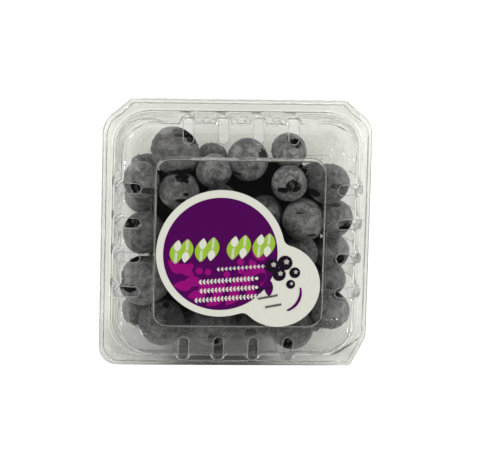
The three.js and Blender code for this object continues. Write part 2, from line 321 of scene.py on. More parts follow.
def makeLights():
    # softboxes in a white tent with a dark foot, a dimmer front and a dark opening at the top
    for index, (place, side, power) in enumerate(light["softboxes"]):
        data = bpy.data.lights.new(f"softbox{index}", "AREA")
        data.shape = "SQUARE"
        data.size = side
        data.energy = power
        lamp = bpy.data.objects.new(f"softbox{index}", data)
        lamp.location = place
        lamp.rotation_euler = (-Vector(place)).to_track_quat("-Z", "Y").to_euler()
        bpy.context.collection.objects.link(lamp)
    world = bpy.data.worlds.new("studio")
    bpy.context.scene.world = world
    world.use_nodes = True
    wires = Wires(world.node_tree)
    background = world.node_tree.nodes["Background"].inputs
    _, y, z = wires.split(wires.node("ShaderNodeTexCoord", {})["Generated"])
    opened = wires.ramp(z, light["openTop"], kind="LINEAR")
    wires.feed(background["Color"], wires.mix(opened, light["tent"], light["openColour"]))
    strength = light["tentStrength"]
    foot = wires.ramp(z, light["horizon"], (strength * light["horizonShare"], strength), "LINEAR")
    front = wires.ramp(y, light["front"], (light["frontShare"], 1.0), "LINEAR")
    wires.feed(background["Strength"], wires.times(foot, front))


def floorSurface():
    look = floorLook
    material, wires, shader = newMaterial("floor", {
        "Emission Strength": look["glow"], "Roughness": look["roughness"], "Specular IOR Level": 0.0})
    x, y, _ = wires.split(wires.place())
    across = wires.size(wires.math("SUBTRACT", x, look["shadeMiddle"]))

    def bell(width, power):
        spread = wires.math("POWER", wires.math("DIVIDE", across, width), power)
        return wires.math("EXPONENT", wires.times(spread, -1.0))

    fringe = wires.times(bell(look["fringeWidth"], look["fringePower"]), look["fringeShare"])
    fringe = wires.times(fringe, wires.rest(wires.ramp(y, look["fringeBack"])))
    deep = wires.math("MAXIMUM", bell(look["shadeWidth"], look["shadePower"]), fringe)
    behind = wires.rest(wires.ramp(y, look["shadeBack"]))
    shade = wires.times(deep, behind, wires.ramp(y, look["shadeFront"]))
    under = wires.times(
        wires.ramp(x, look["underLeft"]), wires.ramp(x, look["underRight"]),
        wires.ramp(y, look["underBack"]), wires.ramp(y, look["underFront"]))
    indirect = wires.rest(wires.node("ShaderNodeLightPath", {})["Is Camera Ray"])
    lit = wires.times(
        wires.rest(wires.times(shade, indirect, look["shadeDepth"])),
        wires.rest(wires.times(under, indirect, look["underDepth"])))
    tone = wires.mix(lit, look["darkest"], look["colour"])
    wires.feed(shader.inputs["Base Color"], tone)
    wires.feed(shader.inputs["Emission Color"], tone)
    return material


# sizes of the pack, in millimetres
pack = {
    "rimWidth": 115, "rimDepth": 116, "parting": 20, "height": 42, "sheet": 0.35,
    "fluteCount": 4, "pitch": 14.8, "fluteHalf": 3.25, "fluteReach": 29.6, "fluteZone": 27.0,
    "ribs": 5.0, "ribStart": 1.15, "ribRise": 4.0,
    "slotWidth": 4.1, "slotInner": 41.6, "slotOuter": 52.2, "slotLowest": 33.6, "slotHighest": 44,
    "slotSteps": 12,
    "frontCorner": 8,                # radius
    # corners that end in a straight cut: start, radius, degrees of bend, where the cut ends
    "backCorner": (14.8, 10.7, 61, 11.4), "tabCorner": (14.9, 9.8, 27.4, 6.5), "bendShare": 0.75,
    "columnStep": 0.54, "rowStep": 0.95, "cornerSteps": 14, "endColumns": 3,
    "bend": 0.7, "bendSteps": 4, "bendLimit": 0.45, "panelReach": 40, "panelBend": 0.22, "hold": 0.35,
    "lipRadius": 0.14, "lipSides": 8, "lipSink": 0.9,
    "panelLip": (35.72, 5.7, 41.82, 0.13),   # half side, corner radius, height, the lip's own radius
    "sharpAngle": 38,
}

# rows of the lid's outer face from its middle outwards:
# half side, corner radius, height, flute swell, rib swell; or the rim with an inset and a height
lidRows = [
    (0, 0, 42, 0, 0), (35.5, 5.5, 42, 0, 0), (36.0, 6, 37.4, 0, 0), (39.5, 7.8, 37.3, 0, 0),
    (42.5, 9.5, 37.1, 0, 0), (45.5, 11, 36.6, 0, 0), (48.2, 12.5, 35.7, 0, 0),
    (49.5, 13, 35.0, 2.5, 0), (50.0, 13.2, 33.0, 3.1, 0.35), (51.6, 14, 20.6, 0.6, 0.1),
    (52.2, 15, 20.6, 0, 0), (52.55, 15, 21.2, 0, 0), (53.0, 15, 21.45, 0, 0), (53.45, 15, 21.2, 0, 0),
    (53.8, 15, 20.6, 0, 0),
    ("rim", 2.3, 20.6), ("rim", 2.1, 21.0), ("rim", 1.6, 21.0), ("rim", 1.4, 20.6),
    ("rim", 0.7, 20.6), ("rim", 0.5, 21.0), ("rim", 0.25, 21.0), ("rim", 0.05, 20.45),
]
trayRows = [
    (0, 0, 3.0, 0, 0), (37.2, 5.5, 3.0, 0, 0), (38.7, 6.5, 0, 0, 0), (43.6, 9.5, 0, 0, 0),
    (46.3, 12, 2.4, 0, 0.1), (49.6, 13.2, 12, 2.2, 0.4), (51.4, 14, 19.45, 1.3, 0.2),
    (52.4, 15, 19.45, 0, 0), (52.8, 15, 19.15, 0, 0), (53.5, 15, 19.15, 0, 0), (53.9, 15, 19.45, 0, 0),
    ("rim", 1.9, 19.45), ("rim", 1.6, 19.2), ("rim", 0.6, 19.2), ("rim", 0.5, 19.6),
]


def packColumns():
    # one entry for each column round the outline: which side, and where on it
    zone, ends, corner = pack["fluteZone"], pack["endColumns"], pack["cornerSteps"]
    steps = int(2 * zone / pack["columnStep"])
    columns = []
    for side in range(4):
        columns += [("end", side, -1, 1 - k / ends) for k in range(1, ends)]
        columns += [("side", side, -zone + 2 * zone * k / steps, 0) for k in range(steps + 1)]
        columns += [("end", side, 1, k / ends) for k in range(1, ends)]
        columns += [("corner", side, k / corner, 0) for k in range(corner + 1)]
    return columns


def turned(side, out, along):
    return [(out, along), (-along, out), (-out, -along), (along, -out)][side]


def cutCornerPoint(corner, share):
    # how far in from the side edge and the end edge: first a bend, then a straight cut
    start, radius, sweep, cut = corner
    bendShare = pack["bendShare"]
    angle = math.radians(min(1, share / bendShare) * sweep)
    fromSide = radius * (1 - math.cos(angle))
    fromEnd = start - radius * math.sin(angle)
    k = max(0, share - bendShare) / (1 - bendShare)
    return fromSide + (cut - fromSide) * k, fromEnd * (1 - k)


def rimCornerPoint(side, share):
    # the corner after each side; only the front left one is a plain quarter circle
    halfX, halfY = pack["rimWidth"] / 2, pack["rimDepth"] / 2
    fromHere = share if side in (0, 2) else 1 - share
    if side == 2:
        angle = fromHere * math.pi / 2
        fromSide = pack["frontCorner"] * (1 - math.cos(angle))
        fromEnd = pack["frontCorner"] * (1 - math.sin(angle))
    else:
        fromSide, fromEnd = cutCornerPoint(pack["tabCorner" if side == 3 else "backCorner"], fromHere)
    signX = 1 if side in (0, 3) else -1
    signY = 1 if side in (0, 1) else -1
    return signX * (halfX - fromSide), signY * (halfY - fromEnd)


def rimPoint(column, inset):
    kind, side, place, share = column
    halfX, halfY = pack["rimWidth"] / 2, pack["rimDepth"] / 2
    if kind == "corner":
        x, y = rimCornerPoint(side, place)
    else:
        along = place
        if kind == "end":
            cornerStart = rimCornerPoint(side, 0) if place > 0 else rimCornerPoint((side + 3) % 4, 1)
            reach = abs(cornerStart[1] if side in (0, 2) else cornerStart[0])
            along = place * (pack["fluteZone"] + (reach - pack["fluteZone"]) * share)
        x, y = turned(side, halfX if side in (0, 2) else halfY, along)
    return (x * (halfX - inset) / halfX, y * (halfY - inset) / halfY)


def wallPoint(column, half, corner):
    kind, side, place, share = column
    straight = half - corner
    if kind == "corner":
        angle = place * math.pi / 2
        return turned(side, straight + corner * math.cos(angle), straight + corner * math.sin(angle))
    zone = pack["fluteZone"]
    squeeze = min(1, straight / zone)
    along = place * squeeze
    if kind == "end":
        along = place * (zone * squeeze + (straight - zone * squeeze) * share)
    return turned(side, half, along)


def stretch(here, there):
    return math.dist((here[0], here[2]), (there[0], there[2]))


def bentRows(rows):
    # rounds each bend of the section with a short curve, so that the sheet has no sharp fold;
    # a row just before and after the curve keeps the stretches between bends flat
    out = [rows[0]]
    hold, steps, limit = pack["hold"], pack["bendSteps"], pack["bendLimit"]
    for before, here, after in zip(rows, rows[1:], rows[2:]):
        if "rim" in (before[0], here[0], after[0]):
            out.append(here)
            continue
        onPanel = here[0] < pack["panelReach"] and here[2] > pack["parting"]
        bend = pack["panelBend"] if onPanel else pack["bend"]
        lengthIn, lengthOut = stretch(before, here), stretch(here, after)
        cutIn = min(bend, lengthIn * limit) / lengthIn
        cutOut = min(bend, lengthOut * limit) / lengthOut
        if lengthIn > 5 * hold:
            out.append(between(here, before, cutIn + hold / lengthIn))
        start, end = between(here, before, cutIn), between(here, after, cutOut)
        for k in range(steps + 1):
            t = k / steps
            out.append(tuple(
                (1 - t) ** 2 * a + 2 * t * (1 - t) * b + t * t * c
                for a, b, c in zip(start, here, end)))
        if lengthOut > 5 * hold:
            out.append(between(here, after, cutOut + hold / lengthOut))
    out.append(rows[-1])
    return out


def denseRows(rows):
    # adds rows on the long stretches that carry flutes
    out = []
    for here, after in zip(rows, rows[1:]):
        out.append(here)
        if "rim" in (here[0], after[0]) or (here[3] == 0 and after[3] == 0):
            continue
        count = int(stretch(here, after) / pack["rowStep"])
        out += [between(here, after, k / (count + 1)) for k in range(1, count + 1)]
    out.append(rows[-1])
    return out


def packFace(name, rows, underside):
    # the sheet's outer face as one grid round the outline, with what the flute tree reads
    columns = packColumns()
    count = len(columns)
    farOff = 99
    verts, swells, ribs, alongs, outwards = [(0, 0, rows[0][2] * mm)], [0], [0], [farOff], [0, 0, 0]
    for row in rows[1:]:
        for column in columns:
            kind, side, place, _ = column
            if row[0] == "rim":
                x, y = rimPoint(column, row[1])
                swell = rib = 0
            else:
                x, y = wallPoint(column, row[0], row[1])
                swell, rib = row[3], row[4]
            verts.append((x * mm, y * mm, row[2] * mm))
            swells.append(swell * mm if kind == "side" else 0)
            ribs.append(rib * mm if kind == "side" and side == 1 else 0)
            alongs.append(place * mm if kind == "side" else farOff)
            outwards += [*turned(side, 1, 0), 0]
    faces = [(0, 1 + k, 1 + (k + 1) % count) for k in range(count)] + ringFaces(len(rows) - 1, count, 1)
    if underside:
        faces = [face[::-1] for face in faces]
    made = meshObject(name, verts, faces)
    setAttribute(made, "swell", swells)
    setAttribute(made, "rib", ribs)
    setAttribute(made, "along", alongs)
    setAttribute(made, "outward", outwards, "FLOAT_VECTOR")
    return made


def makeFluteTree():
    # pushes the wall outwards: half-round flutes at an even pitch, fine ribs between them
    sockets = {"Pitch": "Float", "Half Width": "Float", "Ribs": "Float"}
    wires, given, result = geometryTree("flutes", sockets)
    along = wires.attribute("along")
    cell = wires.math("SUBTRACT", wires.math("FRACT", wires.math("DIVIDE", along, given["Pitch"])), 0.5)
    share = wires.math("DIVIDE", wires.size(wires.times(cell, given["Pitch"])), given["Half Width"])
    inside = wires.math("SUBTRACT", 1.0, wires.times(share, share), clamp=True)
    fluteOut = wires.times(wires.math("POWER", inside, 0.5), wires.attribute("swell"))
    wave = wires.math("COSINE", wires.times(cell, given["Ribs"], 2 * math.pi))
    beside = wires.math("SUBTRACT", share, pack["ribStart"], clamp=True)
    beside = wires.math("MULTIPLY", beside, pack["ribRise"], clamp=True)
    ribOut = wires.times(wires.math("ADD", wave, 1.0), wires.attribute("rib"), beside)
    reach = wires.math("LESS_THAN", wires.size(along), pack["fluteReach"] * mm)
    push = wires.times(wires.math("ADD", fluteOut, ribOut), reach)
    outward = wires.attribute("outward", "FLOAT_VECTOR")
    offset = wires.add("ShaderNodeVectorMath", {0: outward, "Scale": push}, operation="SCALE")
    moved = wires.add("GeometryNodeSetPosition", {"Geometry": given["Geometry"], "Offset": offset})
    wires.feed(result["Geometry"], moved)
    return wires.tree


def slotOutline(wider=0.0):
    # a pill across the ledge on the right-hand side, from its inner to its outer end
    radius, steps = pack["slotWidth"] / 2, pack["slotSteps"]
    ends = ((pack["slotOuter"] - radius, -math.pi / 2), (pack["slotInner"] + radius, math.pi / 2))
    outline = []
    for middle, first in ends:
        for k in range(steps + 1):
            angle = first + math.pi * k / steps
            x = middle + (radius + wider) * math.cos(angle)
            outline.append((x, (radius + wider) * math.sin(angle)))
    return outline


def slotPlaces():
    # every slot's side and its place along that side
    middle = (pack["fluteCount"] - 1) / 2
    return [(side, (k - middle) * pack["pitch"]) for side in range(4) for k in range(pack["fluteCount"])]


def tubeAlong(path, radius, sides, verts, faces):
    # adds a round closed tube along a ring of points
    first = len(verts)
    for index, here in enumerate(path):
        ahead = path[(index + 1) % len(path)] - path[index - 1]
        sideways = ahead.cross(Vector((0, 0, 1))).normalized()
        upwards = sideways.cross(ahead).normalized()
        for turn in range(sides):
            angle = 2 * math.pi * turn / sides
            verts.append(here + (sideways * math.cos(angle) + upwards * math.sin(angle)) * radius)
    for index in range(len(path)):
        low, high = first + index * sides, first + (index + 1) % len(path) * sides
        faces += [(low + t, low + (t + 1) % sides, high + (t + 1) % sides, high + t) for t in range(sides)]


def makeEdgeLips(shell, material):
    # fine round lips, along the panel's edge and along each slot's on the ledge and the shoulder
    tree = BVHTree.FromObject(shell, bpy.context.evaluated_depsgraph_get())
    verts, faces = [], []
    sides, lip = pack["lipSides"], pack["lipRadius"]
    half, corner, height, radius = pack["panelLip"]
    edge = [wallPoint(column, half, corner) for column in packColumns()[::4]]
    tubeAlong([Vector((x, y, height)) * mm for x, y in edge], radius * mm, sides, verts, faces)
    above = pack["slotHighest"]
    sink = Vector((0, 0, lip * pack["lipSink"] * mm))
    for side, across in slotPlaces():
        path = []
        for out, along in slotOutline(lip):
            x, y = turned(side, out, along + across)
            hit = tree.ray_cast(Vector((x, y, above)) * mm, Vector((0, 0, -1)))[0]
            path.append(hit - sink)
        tubeAlong(path, lip * mm, sides, verts, faces)
    made = meshObject("edgeLips", verts, faces, material)
    fixNormals(made)
    return made


def makeSlotCutters():
    # one pill-shaped cutter, set on the sixteen slot places by a tree
    pill = prismMesh("slotPill", [slotOutline()], pack["slotLowest"], pack["slotHighest"])
    places = [(*turned(side, 0, across * mm), 0) for side, across in slotPlaces()]
    points = meshObject("slotCutters", places, [])
    setAttribute(points, "turn", [side * math.pi / 2 for side, _ in slotPlaces()])
    wires, given, result = geometryTree("slots", {"Cutter": "Object"})
    turn = wires.add("ShaderNodeCombineXYZ", {"Z": wires.attribute("turn")})
    copies = wires.add("GeometryNodeInstanceOnPoints", {
        "Points": given["Geometry"],
        "Instance": wires.node("GeometryNodeObjectInfo", {"Object": given["Cutter"]})["Geometry"],
        "Rotation": wires.add("FunctionNodeEulerToRotation", {0: turn})})
    wires.feed(result["Geometry"], wires.add("GeometryNodeRealizeInstances", {0: copies}))
    addTree(points, wires.tree, {"Cutter": pill})
    bpy.data.objects.remove(pill)
    return points


def makeShell(name, rows, tree, material, cutters=None):
    made = packFace(name, denseRows(bentRows(rows)), cutters is None)
    addTree(made, tree, {
        "Pitch": pack["pitch"] * mm, "Half Width": pack["fluteHalf"] * mm, "Ribs": pack["ribs"]})
    lips = [makeEdgeLips(made, cutEdge("cutEdge"))] if cutters else []
    solidify = made.modifiers.new("sheet", "SOLIDIFY")
    solidify.thickness = pack["sheet"] * mm
    solidify.offset = -1
    solidify.use_even_offset = False
    if cutters:
        cut = made.modifiers.new("slots", "BOOLEAN")
        cut.operation = "DIFFERENCE"
        cut.solver = "EXACT"
        cut.object = cutters
    settleModifiers(made)
    made.data.materials.clear()
    made.data.materials.append(material)
    made.data.shade_smooth()
    made.data.set_sharp_from_angle(angle=math.radians(pack["sharpAngle"]))
    for label in ("swell", "rib", "along", "outward"):
        if label in made.data.attributes:
            made.data.attributes.remove(made.data.attributes[label])
    joinInto(made, lips)
    return made


plasticLook = {
    "tint": (0.893, 0.895, 0.872, 1), "steepTint": (0.70, 0.70, 0.675, 1), "steep": (0.4, 0.9),
    "roughness": 0.015, "ior": 1.52, "shadowTint": (0.93, 0.935, 0.92, 1),
    "haze": 0.012, "panelHaze": 0.001, "hazeBase": 0.5, "hazeEdge": 0.0355,
    "hazeColour": (0.8, 0.8, 0.78, 1),
    "noiseScale": 130, "noiseDetail": 3, "waves": 0.8, "panelWaves": 0.03,
    "waveEdge": 0.0372, "waveHeight": 0.0004, "corner": (0.030, 0.038), "cornerWaves": 1.6,
    "cutRoughness": 0.2, "cutHaze": 0.2,
}


def makeWaveGroup():
    # the uneven thickness of the drawn sheet, for the Height of a bump
    wires, given, result = newTree("sheetWaves", "ShaderNodeTree", {"Waves": "Float"}, {"Height": "Float"})
    noise = wires.noise(wires.place(), plasticLook["noiseScale"], plasticLook["noiseDetail"])
    wires.feed(result["Height"], wires.times(noise, given["Waves"]))
    return wires.tree


def clearPlastic(name, waveGroup, panelTop):
    look = plasticLook
    material, wires, shader = newMaterial(name, {
        "Roughness": look["roughness"], "IOR": look["ior"], "Transmission Weight": 1.0})
    facing = wires.node("ShaderNodeLayerWeight", {"Blend": 0.5})["Facing"]
    tint = wires.mix(wires.ramp(facing, look["steep"]), look["tint"], look["steepTint"])
    wires.feed(shader.inputs["Base Color"], tint)
    place = wires.place()
    haze, waves = look["haze"], look["waves"]
    if panelTop:
        x, y, _ = wires.split(place)
        apart = wires.size(x), wires.size(y)
        reach = wires.math("MAXIMUM", *apart)
        onPanel = wires.math("LESS_THAN", reach, look["hazeEdge"])
        haze = wires.scaled(onPanel, look["panelHaze"] - haze, haze)
        still = wires.math("LESS_THAN", reach, look["waveEdge"])
        waves = wires.scaled(still, look["panelWaves"] - waves, waves)
        inCorner = wires.ramp(wires.math("MINIMUM", *apart), look["corner"])
        waves = wires.scaled(inCorner, look["cornerWaves"], waves)
    height = wires.node("ShaderNodeGroup", {"Waves": waves}, node_tree=waveGroup)["Height"]
    bump = wires.add("ShaderNodeBump", {"Distance": look["waveHeight"], "Height": height})
    wires.feed(shader.inputs["Normal"], bump)
    noise = wires.noise(place, look["noiseScale"], look["noiseDetail"])
    amount = wires.times(wires.math("ADD", noise, look["hazeBase"]), haze)
    veil = wires.add("ShaderNodeBsdfDiffuse", {"Color": look["hazeColour"]})
    misted = wires.add("ShaderNodeMixShader", {0: amount, 1: shader.outputs[0], 2: veil})
    # what casts shadows or lights dull surfaces passes straight through the sheet
    path = wires.node("ShaderNodeLightPath", {})
    through = wires.math("MAXIMUM", path["Is Shadow Ray"], path["Is Diffuse Ray"])
    clear = wires.add("ShaderNodeBsdfTransparent", {"Color": look["shadowTint"]})
    last = wires.add("ShaderNodeMixShader", {0: through, 1: misted, 2: clear})
    wires.feed(wires.tree.nodes["Material Output"].inputs["Surface"], last)
    return material


def cutEdge(name):
    # whitish sheet for the fine lips: the punched slot edges turn whitish, and the whiteness along the slots
    # and the panel's edge also paints their bright line (painted highlight)
    look = plasticLook
    return newMaterial(name, {
        "Base Color": look["hazeColour"], "Roughness": look["cutRoughness"],
        "Transmission Weight": 1 - look["cutHaze"]})[0]


# each row is a berry that shows: x, y, height, diameter (mm), how much bloom it has left (set lower
# on the deep and front berries as painted shade), then which way its crown looks
outerBerries = [
    (-26.5, 35.5, 22.5, 21.0, 0.73, (0.62, 0.68, 0.37)),
    (-39.0, 26.5, 12.5, 12.6, 0.8, (-0.6, 0.2, -0.4)),
    (-41.0, 24.0, 26.5, 15.3, 0.85, (-0.36, -0.33, 0.87)),
    (-39.5, 14.0, 10.5, 14.4, 0.8, (0.2, -0.5, -0.6)),
    (-10.0, 31.5, 12.5, 12.5, 0.8, (0.2, 0.6, -0.7)),
    (-10.5, 28.5, 28.0, 14.6, 0.9, (0.3, -0.7, -0.5)),
    (4.0, 33.0, 25.5, 17.6, 1.06, (0.74, 0.33, 0.58)),
    (6.0, 24.5, 12.0, 14.9, 0.35, (0.1, -0.4, 0.2)),
    (22.0, 36.0, 20.0, 14.8, 1.16, (0.33, 0.63, 0.70)),
    (21.5, 23.5, 28.5, 14.7, 1.0, (0.17, 0.02, 0.99)),
    (33.5, 23.0, 12.0, 13.3, 0.8, (0.2, -0.85, 0.45)),
    (38.5, 23.0, 26.0, 17.4, 0.65, (0.2, -0.9, -0.3)),
    (-25.0, 19.5, 27.5, 16.4, 0.9, (0.14, 0.83, 0.53)),
    (28.0, 7.5, 27.0, 17.6, 0.92, (-0.85, -0.25, -0.30)),
    (12.0, 9.0, 21.5, 15.9, 0.9, (-0.5, -0.3, 0.3)),
    (42.3, 7.0, 22.5, 16.4, 0.65, (0.59, -0.36, 0.73)),
    (42.0, -8.5, 16.5, 15.2, 0.65, (0.40, -0.34, 0.86)),
    (41.4, -21.2, 14.0, 14.6, 0.7, (0.5, -0.5, -0.4)),
    (40.5, -32.0, 24.0, 17.6, 0.78, (0.37, 0.83, 0.41)),
    (-39.5, 1.0, 25.5, 17.5, 0.52, (-0.62, 0.63, 0.48)),
    (-38.3, -20.1, 23.5, 21.5, 0.85, (-0.35, 0.93, 0.10)),
    (-40.5, -35.5, 11.0, 14.2, 0.7, (-0.9, 0.1, -0.4)),
    (-31.0, -37.8, 25.3, 19.6, 0.40, (0.29, 0.20, -0.74)),
    (-9.0, -38.5, 26.0, 18.8, 0.46, (0.03, -0.52, 0.86)),
    (6.8, -37.6, 20.5, 14.9, 0.52, (0.2, -0.8, -0.3)),
    (24.5, -41.0, 26.3, 18.0, 0.50, (-0.36, -0.60, 0.71)),
    (34.5, -38.0, 11.0, 13.9, 0.7, (0.3, -0.3, -0.7)),
    (28.5, -8.0, 22.0, 14.4, 0.8, (-0.6, -0.2, -0.5)),
    (-26.5, 30.5, 11.0, 14.0, 0.7, (0.3, 0.8, -0.4)),
    (22.0, 34.0, 9.4, 10.5, 0.7, (0.6, 0.5, -0.6)),
]
# places where the bloom is rubbed off to the dark skin, and spots of painted shade on berries' shaded sides,
# by berry: which way out from its middle, then half the spot's length and width (mm)
bareAndShadeSpots = {
    # berry 0's third spot and berry 11's second spot are painted shade on the berry's shaded side
    0: [((0.30, 0.87, 0.38), 5.4, 2.2), ((0.62, 0.68, 0.37), 2.3, 2.6), ((0.22, -0.76, 0.61), 6.0, 2.6)],
    2: [((-0.36, -0.33, 0.87), 2.3, 2.0), ((0.28, -0.46, 0.84), 3.0, 1.5), ((0.55, -0.55, 0.62), 2.8, 1.6)],
    6: [((0.74, 0.33, 0.58), 1.8, 2.2), ((-0.55, -0.55, 0.62), 2.6, 1.0)],
    8: [((0.33, 0.63, 0.70), 2.1, 1.6)],
    9: [((0.17, 0.02, 0.99), 3.1, 2.6), ((-0.45, -0.25, 0.86), 2.6, 1.3)],
    11: [((0.28, 0.05, 0.95), 3.2, 1.1), ((-0.75, -0.35, 0.55), 3.4, 2.0)],
    12: [((0.14, 0.83, 0.53), 3.2, 1.5), ((0.30, 0.02, 0.95), 1.6, 0.7), ((0.05, -0.30, 0.95), 2.6, 0.8)],
    13: [((-0.20, 0.49, 0.85), 3.4, 0.4), ((0.35, -0.6, 0.7), 3.0, 0.7)],
    15: [((0.59, -0.36, 0.73), 3.5, 2.0), ((0.04, 0.85, 0.53), 2.4, 0.9)],
    16: [((0.40, -0.34, 0.86), 2.4, 1.8)],
    18: [((0.37, 0.83, 0.41), 2.2, 1.9)],
    19: [((-0.62, 0.63, 0.48), 3.7, 2.0)],
    20: [((-0.35, 0.93, 0.10), 3.6, 1.6), ((-0.65, -0.16, 0.73), 3.5, 1.8), ((-0.95, 0.10, 0.30), 1.4, 4.0)],
    22: [((0.15, 0.86, 0.49), 1.7, 1.3)],
    23: [((0.03, -0.46, 0.89), 2.2, 1.5)],
    24: [((0.05, -0.70, 0.72), 2.8, 3.0)],
    25: [((-0.36, -0.60, 0.71), 2.6, 3.0)],
}
# the berries that are covered by others or by the label: rows of a grid, shaken a little
hiddenTop = {
    "pitch": 15.4, "rows": (-2, 1), "columns": (-2, 2), "forward": 0, "reach": 33,
    "z": 25, "smallest": 14, "largest": 17.5,
}
bottomLayer = {
    "pitch": 14.6, "rows": (-2, 2), "columns": (-3, 2), "forward": 9, "reach": 50,
    "z": 11, "smallest": 13, "largest": 16.5,
}
settle = {
    "steps": 90, "drop": 0.12, "wallGap": 0.3, "touch": 0.1, "seed": 2741, "shake": 3, "crowded": 0.36,
    "floor": 0.7, "recessHalf": 38.75, "recessTop": 3.7, "ceiling": 36.0, "cornerRadius": 13,
    "widest": 50.8, "widestZ": 20, "trayTaper": 5.2 / 17, "lidTaper": 2.6 / 11.85, "bloom": 0.85,
}
# a berry of radius 1 and how its crater, crown and stem mark are cut into it; where there are
# two numbers, the second is how much chance, the sepals or the finer waves add
berryForm = {
    "kinds": 6, "seed": 500, "seedStep": 37, "turnSeed": 97, "rows": 36, "columns": 44,
    "evenShare": 0.62, "flatten": (0.84, 0.1), "fullness": 0.045, "lumps": 4, "lumpSize": 0.022,
    "crater": (0.2635, 0.093), "craterDepth": 0.2, "craterEdge": (0.9, 0.25), "ragged": (0.10, 0.07),
    "ripple": 0.02, "sepals": 5, "lobe": (0.75, 0.5), "lipHeight": (0.0225, 0.0375),
    "lipWidth": 0.055, "stemHeight": 0.03, "stemWidth": 0.16,
}


def insideHalf(z):
    below = settle["trayTaper"] * max(0, settle["widestZ"] - z)
    above = settle["lidTaper"] * max(0, z - settle["widestZ"])
    return settle["widest"] - below - above


def fillGrid(berries, layer, draws):
    # puts a berry on each place of a shaken grid that isn't taken yet
    for row in range(layer["rows"][0], layer["rows"][1] + 1):
        for column in range(layer["columns"][0], layer["columns"][1] + 1):
            shift = 0.5 if row % 2 else 0
            x = (column + shift) * layer["pitch"] + (next(draws) - 0.5) * settle["shake"]
            y = row * layer["pitch"] - layer["forward"] + (next(draws) - 0.5) * settle["shake"]
            diameter = layer["smallest"] + (layer["largest"] - layer["smallest"]) * next(draws)
            z = layer["z"] + next(draws) - 0.5
            free = all(
                math.dist((x, y, z), (other["x"], other["y"], other["z"]))
                > settle["crowded"] * (diameter + other["diameter"])
                for other in berries)
            if free and abs(x) < layer["reach"] - diameter / 2:
                berries.append({
                    "x": x, "y": y, "z": z, "diameter": diameter, "ease": 1,
                    "bloom": settle["bloom"], "facing": None})


def keepInside(berry):
    radius = berry["diameter"] / 2
    room = insideHalf(berry["z"]) - settle["wallGap"] - radius
    berry["x"] = max(-room, min(room, berry["x"]))
    berry["y"] = max(-room, min(room, berry["y"]))
    bend = max(0, settle["cornerRadius"] - radius)
    overX = abs(berry["x"]) - (room - bend)
    overY = abs(berry["y"]) - (room - bend)
    over = math.hypot(overX, overY)
    if overX > 0 and overY > 0 and over > bend:
        berry["x"] = math.copysign(room - bend + overX * bend / over, berry["x"])
        berry["y"] = math.copysign(room - bend + overY * bend / over, berry["y"])
    past = max(abs(berry["x"]), abs(berry["y"])) - settle["recessHalf"]
    overEdge = math.sqrt(max(0, radius ** 2 - past ** 2)) if past > 0 else radius
    floor = max(settle["floor"] + radius, settle["recessTop"] + overEdge) + settle["wallGap"]
    berry["z"] = max(floor, min(settle["ceiling"] - radius, berry["z"]))


def pushApart(first, second):
    gap = [second[axis] - first[axis] for axis in "xyz"]
    distance = math.sqrt(sum(g * g for g in gap)) + 1e-9
    overlap = (first["diameter"] + second["diameter"]) / 2 - settle["touch"] - distance
    if overlap <= 0:
        return
    step = overlap / 2 / distance
    for axis, g in zip("xyz", gap):
        first[axis] -= g * step * first["ease"]
        second[axis] += g * step * second["ease"]


def settledBerries():
    # the hidden ones sink a little, push each other apart and stay inside the walls
    names = ("x", "y", "z", "diameter", "bloom", "facing")
    berries = [{**dict(zip(names, row)), "ease": 0} for row in outerBerries]
    draws = seededDraws(settle["seed"])
    fillGrid(berries, hiddenTop, draws)
    fillGrid(berries, bottomLayer, draws)
    for _ in range(settle["steps"]):
        for berry in berries:
            berry["z"] -= settle["drop"] * berry["ease"]
        for i, first in enumerate(berries):
            for second in berries[i + 1:]:
                pushApart(first, second)
        for berry in berries:
            keepInside(berry)
    return berries


